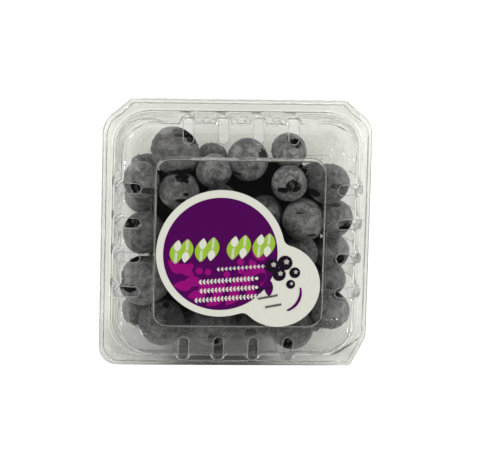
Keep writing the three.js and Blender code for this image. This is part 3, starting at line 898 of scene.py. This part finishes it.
def berryKind(index, material):
    # one berry with its crown up: a flattened ball with a crater and five sepals
    form = berryForm
    draws = seededDraws(form["seed"] + index * form["seedStep"])
    sepals = form["sepals"]
    lobes = [form["lobe"][0] + form["lobe"][1] * next(draws) for _ in range(sepals)]
    phase = next(draws) * 2 * math.pi
    lumps = [
        (next(draws) * 2 * math.pi, next(draws) * 2 * math.pi, next(draws)) for _ in range(form["lumps"])]
    crater = form["crater"][0] + form["crater"][1] * next(draws)
    flatten = form["flatten"][0] + form["flatten"][1] * next(draws)
    rows, columns = form["rows"], form["columns"]

    def point(polar, turn):
        radius = 1.0 + form["fullness"]
        for lumpTurn, lumpPolar, size in lumps:
            wave = math.cos(2 * turn + lumpTurn) * math.sin(2 * polar + lumpPolar)
            radius += form["lumpSize"] * size * wave * math.sin(polar)
        petal = (turn + phase) / (2 * math.pi) * sepals
        lobe = lobes[int(petal % sepals)] * (1 - abs(petal % 1 - 0.5) * 2)
        coarse, fine = form["ragged"]
        ragged = coarse * math.sin(3 * turn + phase * 2) + fine * math.sin(8 * turn + phase * 5)
        edge = crater * (form["craterEdge"][0] + form["craterEdge"][1] * lobe + ragged)
        rise = 0
        if polar < edge:
            t = polar / edge
            rise = -form["craterDepth"] * (1 - t ** 3)
            rise -= form["ripple"] * math.cos(5 * turn + phase) * t * (1 - t)
        lip = math.exp(-((polar - edge) / form["lipWidth"]) ** 2)
        rise += lip * (form["lipHeight"][0] + form["lipHeight"][1] * lobe)
        rise += form["stemHeight"] * math.exp(-((math.pi - polar) / form["stemWidth"]) ** 2)
        out = radius * math.sin(polar)
        z = (radius * math.cos(polar)) * flatten + rise
        return (out * math.cos(turn), out * math.sin(turn), z), polar / edge

    even = form["evenShare"]
    polars = []
    for r in range(1, rows):
        t = r / rows
        polars.append(math.pi * (even * t + (1 - even) * t * t * (3 - 2 * t)))
    places = [point(0, 0)[0]]
    crowns = [0]
    for polar in polars:
        for c in range(columns):
            place, share = point(polar, 2 * math.pi * c / columns)
            places.append(place)
            crowns.append(share)
    places.append(point(math.pi, 0)[0])
    crowns.append(9)
    last = len(places) - 1
    low = last - columns
    faces = [(0, 1 + c, 1 + (c + 1) % columns) for c in range(columns)]
    faces += ringFaces(len(polars), columns, 1)
    faces += [(low + c, last, low + (c + 1) % columns) for c in range(columns)]
    made = meshObject(f"berryKind{index}", places, faces, material)
    setAttribute(made, "crown", crowns)
    setAttribute(made, "ownPlace", [number for place in places for number in place], "FLOAT_VECTOR")
    return made


def makeHeapTree(material):
    # puts a berry kind on every point, turned and sized by the point's attributes
    wires, given, result = geometryTree("heap", {"Kinds": "Collection"})
    turn = wires.attribute("turn", "FLOAT_VECTOR")
    copies = wires.add("GeometryNodeInstanceOnPoints", {
        "Pick Instance": True,
        "Points": given["Geometry"],
        "Instance": wires.add("GeometryNodeCollectionInfo", {
            "Separate Children": True, "Reset Children": True, "Collection": given["Kinds"]}),
        "Instance Index": wires.attribute("kind", "INT"),
        "Rotation": wires.add("FunctionNodeEulerToRotation", {0: turn}),
        "Scale": wires.attribute("size")})
    real = wires.add("GeometryNodeRealizeInstances", {0: copies})
    finish = wires.add("GeometryNodeSetMaterial", {0: real, "Material": material})
    wires.feed(result["Geometry"], finish)
    return wires.tree


def markBareAndShadeSpots(made, berries):
    # gives every point its distance from the nearest dark spot, rubbed bloom or painted shade, 1 at the
    # spot's edge
    verts = made.data.vertices
    count = len(verts) // len(berries)
    nearest = [9.0] * len(verts)
    for index, spots in bareAndShadeSpots.items():
        berry = berries[index]
        for direction, length, width in spots:
            middle = [berry[axis] + part * berry["diameter"] / 2 for axis, part in zip("xyz", direction)]
            for n in range(index * count, (index + 1) * count):
                x, y, z = [place / mm - along for place, along in zip(verts[n].co, middle)]
                away = math.sqrt((x / length) ** 2 + (y / width) ** 2 + (z / (length + width)) ** 2)
                nearest[n] = min(nearest[n], away)
    setAttribute(made, "bare", nearest)


def makeBerries(material):
    kinds = bpy.data.collections.new("berryKinds")
    for index in range(berryForm["kinds"]):
        made = berryKind(index, material)
        bpy.context.collection.objects.unlink(made)
        kinds.objects.link(made)
    draws = seededDraws(berryForm["turnSeed"])
    places, turns, sizes, chosen, tints = [], [], [], [], []
    berries = settledBerries()
    for berry in berries:
        random = Vector((next(draws) - 0.5, next(draws) - 0.5, next(draws) - 0.7))
        direction = Vector(berry["facing"]) if berry["facing"] else random
        spin = next(draws) * 2 * math.pi
        turn = direction.to_track_quat("Z", "Y") @ Euler((0, 0, spin)).to_quaternion()
        places.append((berry["x"] * mm, berry["y"] * mm, berry["z"] * mm))
        turns += list(turn.to_euler())
        sizes.append(berry["diameter"] / 2 * mm)
        chosen.append(int(next(draws) * berryForm["kinds"]))
        tints.append(next(draws))
    made = meshObject("blueberries", places, [])
    setAttribute(made, "turn", turns, "FLOAT_VECTOR")
    setAttribute(made, "size", sizes)
    setAttribute(made, "kind", chosen, "INT")
    setAttribute(made, "tint", tints)
    setAttribute(made, "bloom", [berry["bloom"] for berry in berries])
    addTree(made, makeHeapTree(material), {"Kinds": kinds})
    made.data.shade_smooth()
    markBareAndShadeSpots(made, berries)
    for old in list(kinds.objects):
        bpy.data.objects.remove(old)
    bpy.data.collections.remove(kinds)
    print("berries", len(places), "faces", len(made.data.polygons))
    return made


coreLook = {
    "low": (-35, -36, 5.4), "high": (36, 29, 22.5), "squareness": 0.38, "rows": 30, "columns": 72,
    "lump": 0.03, "lumpWaves": (9, 2, 7, 5), "colour": (0.006, 0.006, 0.007, 1), "roughness": 0.9,
}


def heapCore():
    # a dark lumpy block under the berries, painted shade for the dark gaps between them, so that no daylight
    # shows between them
    look = coreLook
    rows, columns = look["rows"], look["columns"]
    roundTurn, roundRow, downPolar, downTurn = look["lumpWaves"]

    def squared(value):
        return math.copysign(abs(value) ** look["squareness"], value)

    verts = []
    for r in range(rows + 1):
        polar = math.pi * r / rows
        out = squared(math.sin(polar))
        for c in range(columns):
            turn = 2 * math.pi * c / columns
            lumps = math.sin(roundTurn * turn + roundRow * r) + math.cos(downPolar * polar + downTurn * turn)
            lump = 1 + look["lump"] * lumps
            unit = (
                out * squared(math.cos(turn)) * lump, out * squared(math.sin(turn)) * lump, math.cos(polar))
            sides = zip(look["low"], look["high"], unit)
            verts.append([((a + b) / 2 + (b - a) / 2 * part) * mm for a, b, part in sides])
    shade, _, _ = newMaterial("heapShade", {
        "Base Color": look["colour"], "Roughness": look["roughness"], "Specular IOR Level": 0.0})
    made = meshObject("heapCore", verts, ringFaces(rows + 1, columns, 0), shade)
    fixNormals(made)
    return made


berryLook = {
    # the bloom's own colour, mixed in by the bloom amount that also carries painted shade
    "skin": (0.010, 0.009, 0.012, 1), "bloom": (0.305, 0.302, 0.315, 1), "stain": (0.035, 0.03, 0.035, 1),
    "crown": (0.004, 0.0035, 0.004, 1), "crownDust": (0.085, 0.082, 0.085, 1),
    "specular": 0.07, "sheen": 0.08, "sheenRoughness": 0.4, "tintRange": 40,
    # noise: scale, detail, roughness, distortion; then the values between which it rises
    "patches": ((1.3, 3, 0.55, 0.3), (0.40, 0.60)), "rubbed": ((3.2, 5, 0.66, 0.9), (0.40, 0.60)),
    "stains": ((2.2, 5, 0.65, 0.8), (0.54, 0.64)), "speckle": ((20, 4, 0.6, 0.0), (0.35, 0.72)),
    "pits": ((7.5, 3, 0.7, 0.0), (0.63, 0.68)), "darker": ((3, 3, 0.55, 0.0), (0.4, 0.7)),
    "dust": ((4.5, 5, 0.65, 0.0), (0.52, 0.64)),
    "ragged": (3.6, 5, 0.65, 0.0), "raggedness": (1.1, -0.55), "grain": (9, 4, 0.55, 0.0),
    "crownEdge": (0.90, 1.04), "spotEdge": (0.88, 1.08),
    # how far each of them takes the bloom away: share, and what is left without it
    "patchShare": (0.5, 0.5), "rubbedShare": (0.55, 0.45), "stainShare": (-0.6, 1.0),
    "speckleShare": (0.34, 0.66), "tintShare": (0.2, 0.9), "pitShare": (-0.75, 1.0),
    "roughness": (0.25, 0.42), "darkRoughness": 0.9,
    "bumpStrength": 0.3, "bumpDistance": 0.0004, "speckleBump": 0.3,
}


def berrySkin():
    look = berryLook
    material, wires, shader = newMaterial("berrySkin", {
        "Specular IOR Level": look["specular"], "Sheen Weight": look["sheen"],
        "Sheen Roughness": look["sheenRoughness"]})

    def attribute(name, output="Fac"):
        return wires.node("ShaderNodeAttribute", {}, attribute_name=name)[output]

    def noise(scale, detail, roughness, distortion):
        return wires.add("ShaderNodeTexNoise", {
            "Vector": attribute("ownPlace", "Vector"), "W": wires.times(tint, look["tintRange"]),
            "Scale": scale, "Detail": detail, "Roughness": roughness, "Distortion": distortion,
        }, noise_dimensions="4D")

    def mask(name):
        settings, edges = look[name]
        return wires.ramp(noise(*settings), edges)

    tint = attribute("tint")
    speckle = mask("speckle")
    # each berry's bloom amount is partly its real bloom and partly painted shade
    bloom = attribute("bloom")
    for value, share in (
        (mask("patches"), "patchShare"), (mask("rubbed"), "rubbedShare"), (mask("stains"), "stainShare"),
        (speckle, "speckleShare"), (tint, "tintShare"), (mask("pits"), "pitShare"),
    ):
        bloom = wires.times(bloom, wires.scaled(value, *look[share]))
    skin = wires.mix(mask("darker"), look["skin"], look["stain"])
    colour = wires.mix(bloom, skin, look["bloom"])
    ragged = wires.scaled(noise(*look["ragged"]), *look["raggedness"])
    inCrown = wires.rest(wires.ramp(wires.math("ADD", attribute("crown"), ragged), look["crownEdge"]))
    # dark spots: rubbed-off bloom, and painted shade
    inSpot = wires.rest(wires.ramp(wires.math("ADD", attribute("bare"), ragged), look["spotEdge"]))
    dark = wires.math("MAXIMUM", inCrown, inSpot)
    dusty = wires.times(mask("dust"), inCrown)
    colour = wires.mix(dark, colour, wires.mix(dusty, look["crown"], look["crownDust"]))
    wires.feed(shader.inputs["Base Color"], colour)
    rough = wires.scaled(bloom, *look["roughness"])
    rough = wires.math("MAXIMUM", rough, wires.times(dark, look["darkRoughness"]))
    wires.feed(shader.inputs["Roughness"], rough)
    grain = wires.math("ADD", noise(*look["grain"]), wires.times(speckle, look["speckleBump"]))
    bump = {"Strength": look["bumpStrength"], "Distance": look["bumpDistance"], "Height": grain}
    wires.feed(shader.inputs["Normal"], wires.add("ShaderNodeBump", bump))
    return material


labelSize = {
    "bigLobe": (-7.9, -4.2, 27.2), "smallLobe": (16.7, -17.9, 17.8), "fillet": 4, "arcStep": 3,
    "bottom": 42.03, "sheetTop": 42.16, "inkTop": 42.19, "inkStep": 0.03, "inkSink": 0.005,
    "shapeStep": 0.0003, "edge": 0.04,
}
printLook = {
    "white": (0.565, 0.565, 0.505, 1), "purple": (0.058, 0.0, 0.066, 1),
    "magenta": (0.225, 0.002, 0.135, 1), "lime": (0.25, 0.40, 0.032, 1),
    "ink": (0.008, 0.003, 0.010, 1), "shade": (0.36, 0.36, 0.33, 1),
    "gloss": 0.4, "specular": 0.08, "mottle": 0.07, "mottleScale": 900, "mottleDetail": 4,
    "bumpStrength": 0.06, "bumpDistance": 0.0001,
}
# what is printed, in millimetres on the label
printPlan = {
    "tilt": 4.5,                             # degrees that the printed rows rise to the right
    "disc": (-8.0, -4.4, 24.15),
    # the wreath: how many, from which angle and in which steps (degrees), how far in from the disc's
    # edge and how much farther each next one
    "wreathSeed": 61, "wreathLeaves": (15, 196, 11.2, 5.2, 1.6), "wreathLeaf": (8.2, 4.6, 1.5),
    "wreathTurns": (55, -200, 20), "wreathBerries": (9, 203, 17, 10.5, 2.2), "wreathRadius": (1.25, 0.35),
    # each leaf of the garland: x, and 1 where it points down; its white half and its veins start
    # at a share of its length
    "garland": [
        (-27.0, 0), (-21.8, 1), (-16.4, 0), (-10.9, 1), (-3.0, 0), (2.4, 1), (7.9, 0), (12.6, 1)],
    "garlandLeaf": (10.4, 5.6, 0.6), "garlandTip": (3.1, 0.4), "garlandRow": -6.6491,
    "garlandTurns": (-8, 172), "tipFrom": (0.3, 0.52), "tipShare": 0.47,
    "vein": (2.0, 0.28), "veins": 4, "veinAcross": 0.1, "veinFrom": (0.12, 0.1),
    "veinLean": 38,
    # each row of twigs: left, right, y at x = -5, how tall, and the gap between leaves; the stem,
    # the leaves and the bud at its end as shares of how tall it is
    "twigs": [
        (-9.5, 16.5, -10.7, 2.0, 1.7), (-17.0, 7.6, -15.7, 2.6, 1.56), (-16.6, 7.6, -19.6, 2.6, 1.56),
        (-18.6, 10.2, -23.5, 2.6, 1.56)],
    "twigCentre": -5, "twigEnds": (0.4, 1), "twigStem": 0.08, "twigLeaf": (0.55, 0.27),
    "twigLeans": (-42, -138), "twigBud": 0.26,
    # the sprig's berries: x, y, radius; its leaves: length, width, bend, x, y, degrees
    "berries": [
        (14.0, -9.2, 2.9), (19.4, -8.0, 3.1), (17.0, -13.0, 2.8), (23.6, -12.2, 2.3), (22.0, -17.2, 1.9)],
    "leaves": [(8.2, 4.4, 1.2, 11.2, -12.4, 138), (7.4, 3.8, -1.0, 13.0, -15.2, 172)],
    "star": (0.42, 0.3), "starShift": (0.2, 0.15), "starPoints": 5,
    # the curved stroke: its middle, its two radii, its angles in degrees, its width and swelling
    "curl": (17.6, -20.6, 8.8, 8.6), "curlAngles": (-68, 9, 10), "curlWidth": (0.35, 0.9),
    "curlSwell": (0.15, 0.75),
    # the wavy strokes: left, right, y
    "strokes": [(6.5, 14.5, -20.0), (8.2, 16.6, -23.6), (11.6, 18.2, -27.2)], "strokeWidth": 0.42,
    "strokeSlope": 0.192, "strokePoints": 3, "strokeWave": (0.55, 2.1),
}


def arcPoints(centre, radius, start, end, step):
    count = max(2, int(abs(end - start) / math.radians(step)))
    angles = [start + (end - start) * k / count for k in range(count + 1)]
    return [(centre[0] + radius * math.cos(a), centre[1] + radius * math.sin(a)) for a in angles]


def onCircle(centre, radius, degrees):
    angle = math.radians(degrees)
    return centre[0] + radius * math.cos(angle), centre[1] + radius * math.sin(angle)


def heading(here, there):
    return math.atan2(there[1] - here[1], there[0] - here[0])


def labelOutline():
    # two discs with a small fillet in each of the two notches between them
    size = labelSize
    *big, bigRadius = size["bigLobe"]
    *small, smallRadius = size["smallLobe"]
    fillet, step = size["fillet"], size["arcStep"]
    span, axis = math.dist(big, small), heading(big, small)
    fromBig, fromSmall = bigRadius + fillet, smallRadius + fillet
    spread = math.acos((fromBig ** 2 + span ** 2 - fromSmall ** 2) / (2 * fromBig * span))
    upper, lower = [
        (big[0] + fromBig * math.cos(angle), big[1] + fromBig * math.sin(angle))
        for angle in (axis + spread, axis - spread)]

    def notchPoints(notch, before, after):
        start = heading(notch, before)
        turn = (heading(notch, after) - start + math.pi) % (2 * math.pi) - math.pi
        return arcPoints(notch, fillet, start, start + turn, step * 4)[1:]

    points = arcPoints(big, bigRadius, axis + spread, axis - spread + 2 * math.pi, step)
    points += notchPoints(lower, big, small)
    start = heading(small, lower)
    sweep = (heading(small, upper) - start) % (2 * math.pi)
    points += arcPoints(small, smallRadius, start, start + sweep, step)[1:]
    points += notchPoints(upper, small, big)[:-1]
    return points


def leafShape(length, width, bend=0.0, steps=9):
    # a pointed leaf from its stem upwards, its tip swung sideways by the bend
    left, right = [], []
    for k in range(steps + 1):
        t = k / steps
        half = width / 2 * math.sin(math.pi * t) ** 0.8 * (1.15 - 0.3 * t) if 0 < t < 1 else 0
        middle = bend * t * t
        left.append((middle - half, length * t))
        right.append((middle + half, length * t))
    return left + right[-2:0:-1]


def barShape(length, width, steps=6):
    # a bar with round ends along x
    half, quarter = length / 2 - width / 2, math.pi / 2
    points = arcPoints((half, 0), width / 2, -quarter, quarter, 180 / steps)
    return points + arcPoints((-half, 0), width / 2, quarter, 3 * quarter, 180 / steps)


def discShape(radius, step=20):
    return arcPoints((0, 0), radius, 0, 2 * math.pi, step)[:-1]


def ribbonShape(path, widths):
    # a band of changing width along a path
    left, right = [], []
    for k, (x, y) in enumerate(path):
        before, after = path[max(0, k - 1)], path[min(len(path) - 1, k + 1)]
        length = math.dist(before, after)
        nx, ny = (before[1] - after[1]) / length, (after[0] - before[0]) / length
        left.append((x + nx * widths[k] / 2, y + ny * widths[k] / 2))
        right.append((x - nx * widths[k] / 2, y - ny * widths[k] / 2))
    return left + right[::-1]


def placed(points, x, y, turn=0.0):
    c, s = math.cos(math.radians(turn)), math.sin(math.radians(turn))
    return [(x + px * c - py * s, y + px * s + py * c) for px, py in points]


def wreathShapes():
    # leaves and fruits along the lower rim of the disc
    plan = printPlan
    *centre, radius = plan["disc"]
    draws = seededDraws(plan["wreathSeed"])
    shapes = []
    count, first, step, inwards, more = plan["wreathLeaves"]
    lean, swap, chance = plan["wreathTurns"]
    for k in range(count):
        angle = first + k * step
        x, y = onCircle(centre, radius - inwards - more * (k % 2), angle)
        turn = angle + lean + swap * (k % 2) + chance * next(draws)
        shapes.append(placed(leafShape(*plan["wreathLeaf"]), x, y, turn))
    count, first, step, inwards, more = plan["wreathBerries"]
    smallest, chance = plan["wreathRadius"]
    for k in range(count):
        x, y = onCircle(centre, radius - inwards - more * (k % 3), first + k * step)
        shapes.append(placed(discShape(smallest + chance * next(draws)), x, y))
    return shapes


def garlandShapes():
    # a row of leaves across the disc: lime halves, white halves and fine veins
    plan = printPlan
    limes, whites, veins = [], [], []
    tilt = plan["tilt"]
    slope = math.tan(math.radians(tilt))
    length = plan["garlandLeaf"][0]
    veinStart, veinStep = plan["veinFrom"]
    tipAcross, tipAlong = plan["tipFrom"]
    for x, flipped in plan["garland"]:
        y = plan["garlandRow"] + x * slope
        turn = tilt + plan["garlandTurns"][flipped]
        base = (x, y + length * flipped)
        limes.append(placed(leafShape(*plan["garlandLeaf"]), *base, turn))
        tip = placed([(tipAcross, length * tipAlong)], *base, turn)[0]
        whites.append(placed(leafShape(length * plan["tipShare"], *plan["garlandTip"]), *tip, turn))
        for k in range(plan["veins"]):
            start = placed([(plan["veinAcross"], length * (veinStart + veinStep * k))], *base, turn)[0]
            for side in (-1, 1):
                veins.append(placed(barShape(*plan["vein"]), *start, turn + 90 - side * plan["veinLean"]))
    return limes, whites, veins


def twigShapes():
    # rows of small white twigs under the garland: a stem with leaves on both sides
    plan = printPlan
    shapes = []
    tilt = plan["tilt"]
    slope = math.tan(math.radians(tilt))
    leafLength, leafWidth = plan["twigLeaf"]
    for left, right, y, tall, gap in plan["twigs"]:
        lift = y - plan["twigCentre"] * slope
        middle = (left + right) / 2
        stem = barShape(right - left, plan["twigStem"] * tall)
        shapes.append(placed(stem, middle, lift + middle * slope, tilt))
        x = left + plan["twigEnds"][0]
        while x < right - plan["twigEnds"][1]:
            for lean in plan["twigLeans"]:
                leaf = leafShape(tall * leafLength, tall * leafWidth, 0, 5)
                shapes.append(placed(leaf, x, lift + x * slope, tilt + lean))
            x += gap
        shapes.append(placed(discShape(tall * plan["twigBud"], 30), right, lift + right * slope))
    return shapes


def sprigShapes():
    # five berries, two leaves, a curved stroke and three wavy ones on the small lobe
    plan = printPlan
    dark = [placed(discShape(r, 12), x, y) for x, y, r in plan["berries"]]
    long, wide = plan["star"]
    right, up = plan["starShift"]
    points = plan["starPoints"]
    stars = [
        placed(leafShape(r * long, r * wide, 0, 4), x + r * right, y + r * up, 360 / points * k)
        for x, y, r in plan["berries"] for k in range(points)]
    leaves = [placed(leafShape(*leaf), x, y, turn) for *leaf, x, y, turn in plan["leaves"]]
    x, y, wide, tall = plan["curl"]
    first, step, count = plan["curlAngles"]
    angles = [math.radians(first + step * k) for k in range(count)]
    path = [(x + wide * math.cos(a), y + tall * math.sin(a)) for a in angles]
    thin, more = plan["curlWidth"]
    start, share = plan["curlSwell"]
    widths = [thin + more * math.sin(math.pi * (start + share * k / (count - 1))) for k in range(count)]
    leaves.append(ribbonShape(path, widths))
    tall, pace = plan["strokeWave"]
    for row, (left, right, y) in enumerate(plan["strokes"]):
        count = int((right - left) * plan["strokePoints"])
        wave = []
        for k in range(count + 1):
            along = (right - left) * k / count
            wave.append((left + along, y + plan["strokeSlope"] * along + tall * math.sin(pace * k + row)))
        dark.append(ribbonShape(wave, [plan["strokeWidth"]] * (count + 1)))
    return dark, stars, leaves


def makeMottleGroup():
    # printed ink: a faint mottle in tone over paper-smooth film
    look = printLook
    wires, given, result = newTree(
        "inkMottle", "ShaderNodeTree", {"Dark": "Color", "Light": "Color"},
        {"Colour": "Color", "Normal": "Vector"})
    noise = wires.noise(wires.place(), look["mottleScale"], look["mottleDetail"])
    wires.feed(result["Colour"], wires.mix(noise, given["Dark"], given["Light"]))
    bump = {"Strength": look["bumpStrength"], "Distance": look["bumpDistance"], "Height": noise}
    wires.feed(result["Normal"], wires.add("ShaderNodeBump", bump))
    return wires.tree


def inkMaterial(name, mottle, colour):
    look = printLook
    material, wires, shader = newMaterial(name, {
        "Roughness": look["gloss"], "Specular IOR Level": look["specular"]})
    dark = [c * (1 - look["mottle"]) for c in colour[:3]] + [1]
    pale = [min(1, c * (1 + look["mottle"])) for c in colour[:3]] + [1]
    ink = wires.node("ShaderNodeGroup", {"Dark": dark, "Light": pale}, node_tree=mottle)
    wires.feed(shader.inputs["Base Color"], ink["Colour"])
    wires.feed(shader.inputs["Normal"], ink["Normal"])
    return material


def makeLabel():
    size, look = labelSize, printLook
    mottle = makeMottleGroup()
    paper = inkMaterial("labelWhite", mottle, look["white"])
    made = prismMesh("label", [labelOutline()], size["bottom"], size["sheetTop"], paper)
    bevel = made.modifiers.new("edge", "BEVEL")
    bevel.width = size["edge"] * mm
    bevel.segments = 2
    settleModifiers(made)
    limes, whites, veins = garlandShapes()
    dark, stars, leaves = sprigShapes()
    x, y, radius = printPlan["disc"]
    layers = [
        ("purple", [placed(discShape(radius, 3), x, y)]), ("magenta", wreathShapes()), ("lime", limes),
        ("white", whites + veins + twigShapes()), ("purple", leaves), ("ink", dark), ("shade", stars)]
    inks = {name: inkMaterial("print" + name.title(), mottle, look[name]) for name in dict(layers)}
    parts = []
    for level, (name, outlines) in enumerate(layers):
        bottom, top = size["sheetTop"] - size["inkSink"], size["inkTop"] + level * size["inkStep"]
        parts.append(prismMesh(f"print{level}", outlines, bottom, top, inks[name]))
    joinInto(made, parts)
    made.data.shade_flat()
    return made


bounces, clearBounces = 14, 24           # enough for light to pass all the layers of the sheet
scene = bpy.context.scene
scene.view_settings.view_transform = "Standard"
scene.cycles.max_bounces = bounces
scene.cycles.transmission_bounces = bounces
scene.cycles.transparent_max_bounces = clearBounces
scene.cycles.caustics_reflective = False
scene.cycles.caustics_refractive = False

makeCamera()
makeLights()
half = floorLook["half"]
floorCorners = [(-half, -half, 0), (half, -half, 0), (half, half, 0), (-half, half, 0)]
meshObject("floor", floorCorners, [(0, 1, 2, 3)], floorSurface())
print("stage done")

berries = makeBerries(berrySkin())
joinInto(berries, [heapCore()])
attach(berries, "tray")
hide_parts("berry_heap")
print("berries done")

fluteTree = makeFluteTree()
waveGroup = makeWaveGroup()
cutters = makeSlotCutters()
lidShell = makeShell("lidShell", lidRows, fluteTree, clearPlastic("clearPet", waveGroup, True), cutters)
bpy.data.objects.remove(cutters)
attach(lidShell, "cover")
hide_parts("lid")
print("lid done")

trayShell = makeShell("trayShell", trayRows, fluteTree, clearPlastic("clearPetTray", waveGroup, False))
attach(trayShell, "tray")
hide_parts("base_tray")
print("tray done")

label = makeLabel()
label.name = "labelSheet"
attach(label, "cover")
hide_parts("label")
for piece in (berries, lidShell, trayShell, label):
    print(piece.name, "triangles", sum(len(face.vertices) - 2 for face in piece.data.polygons))
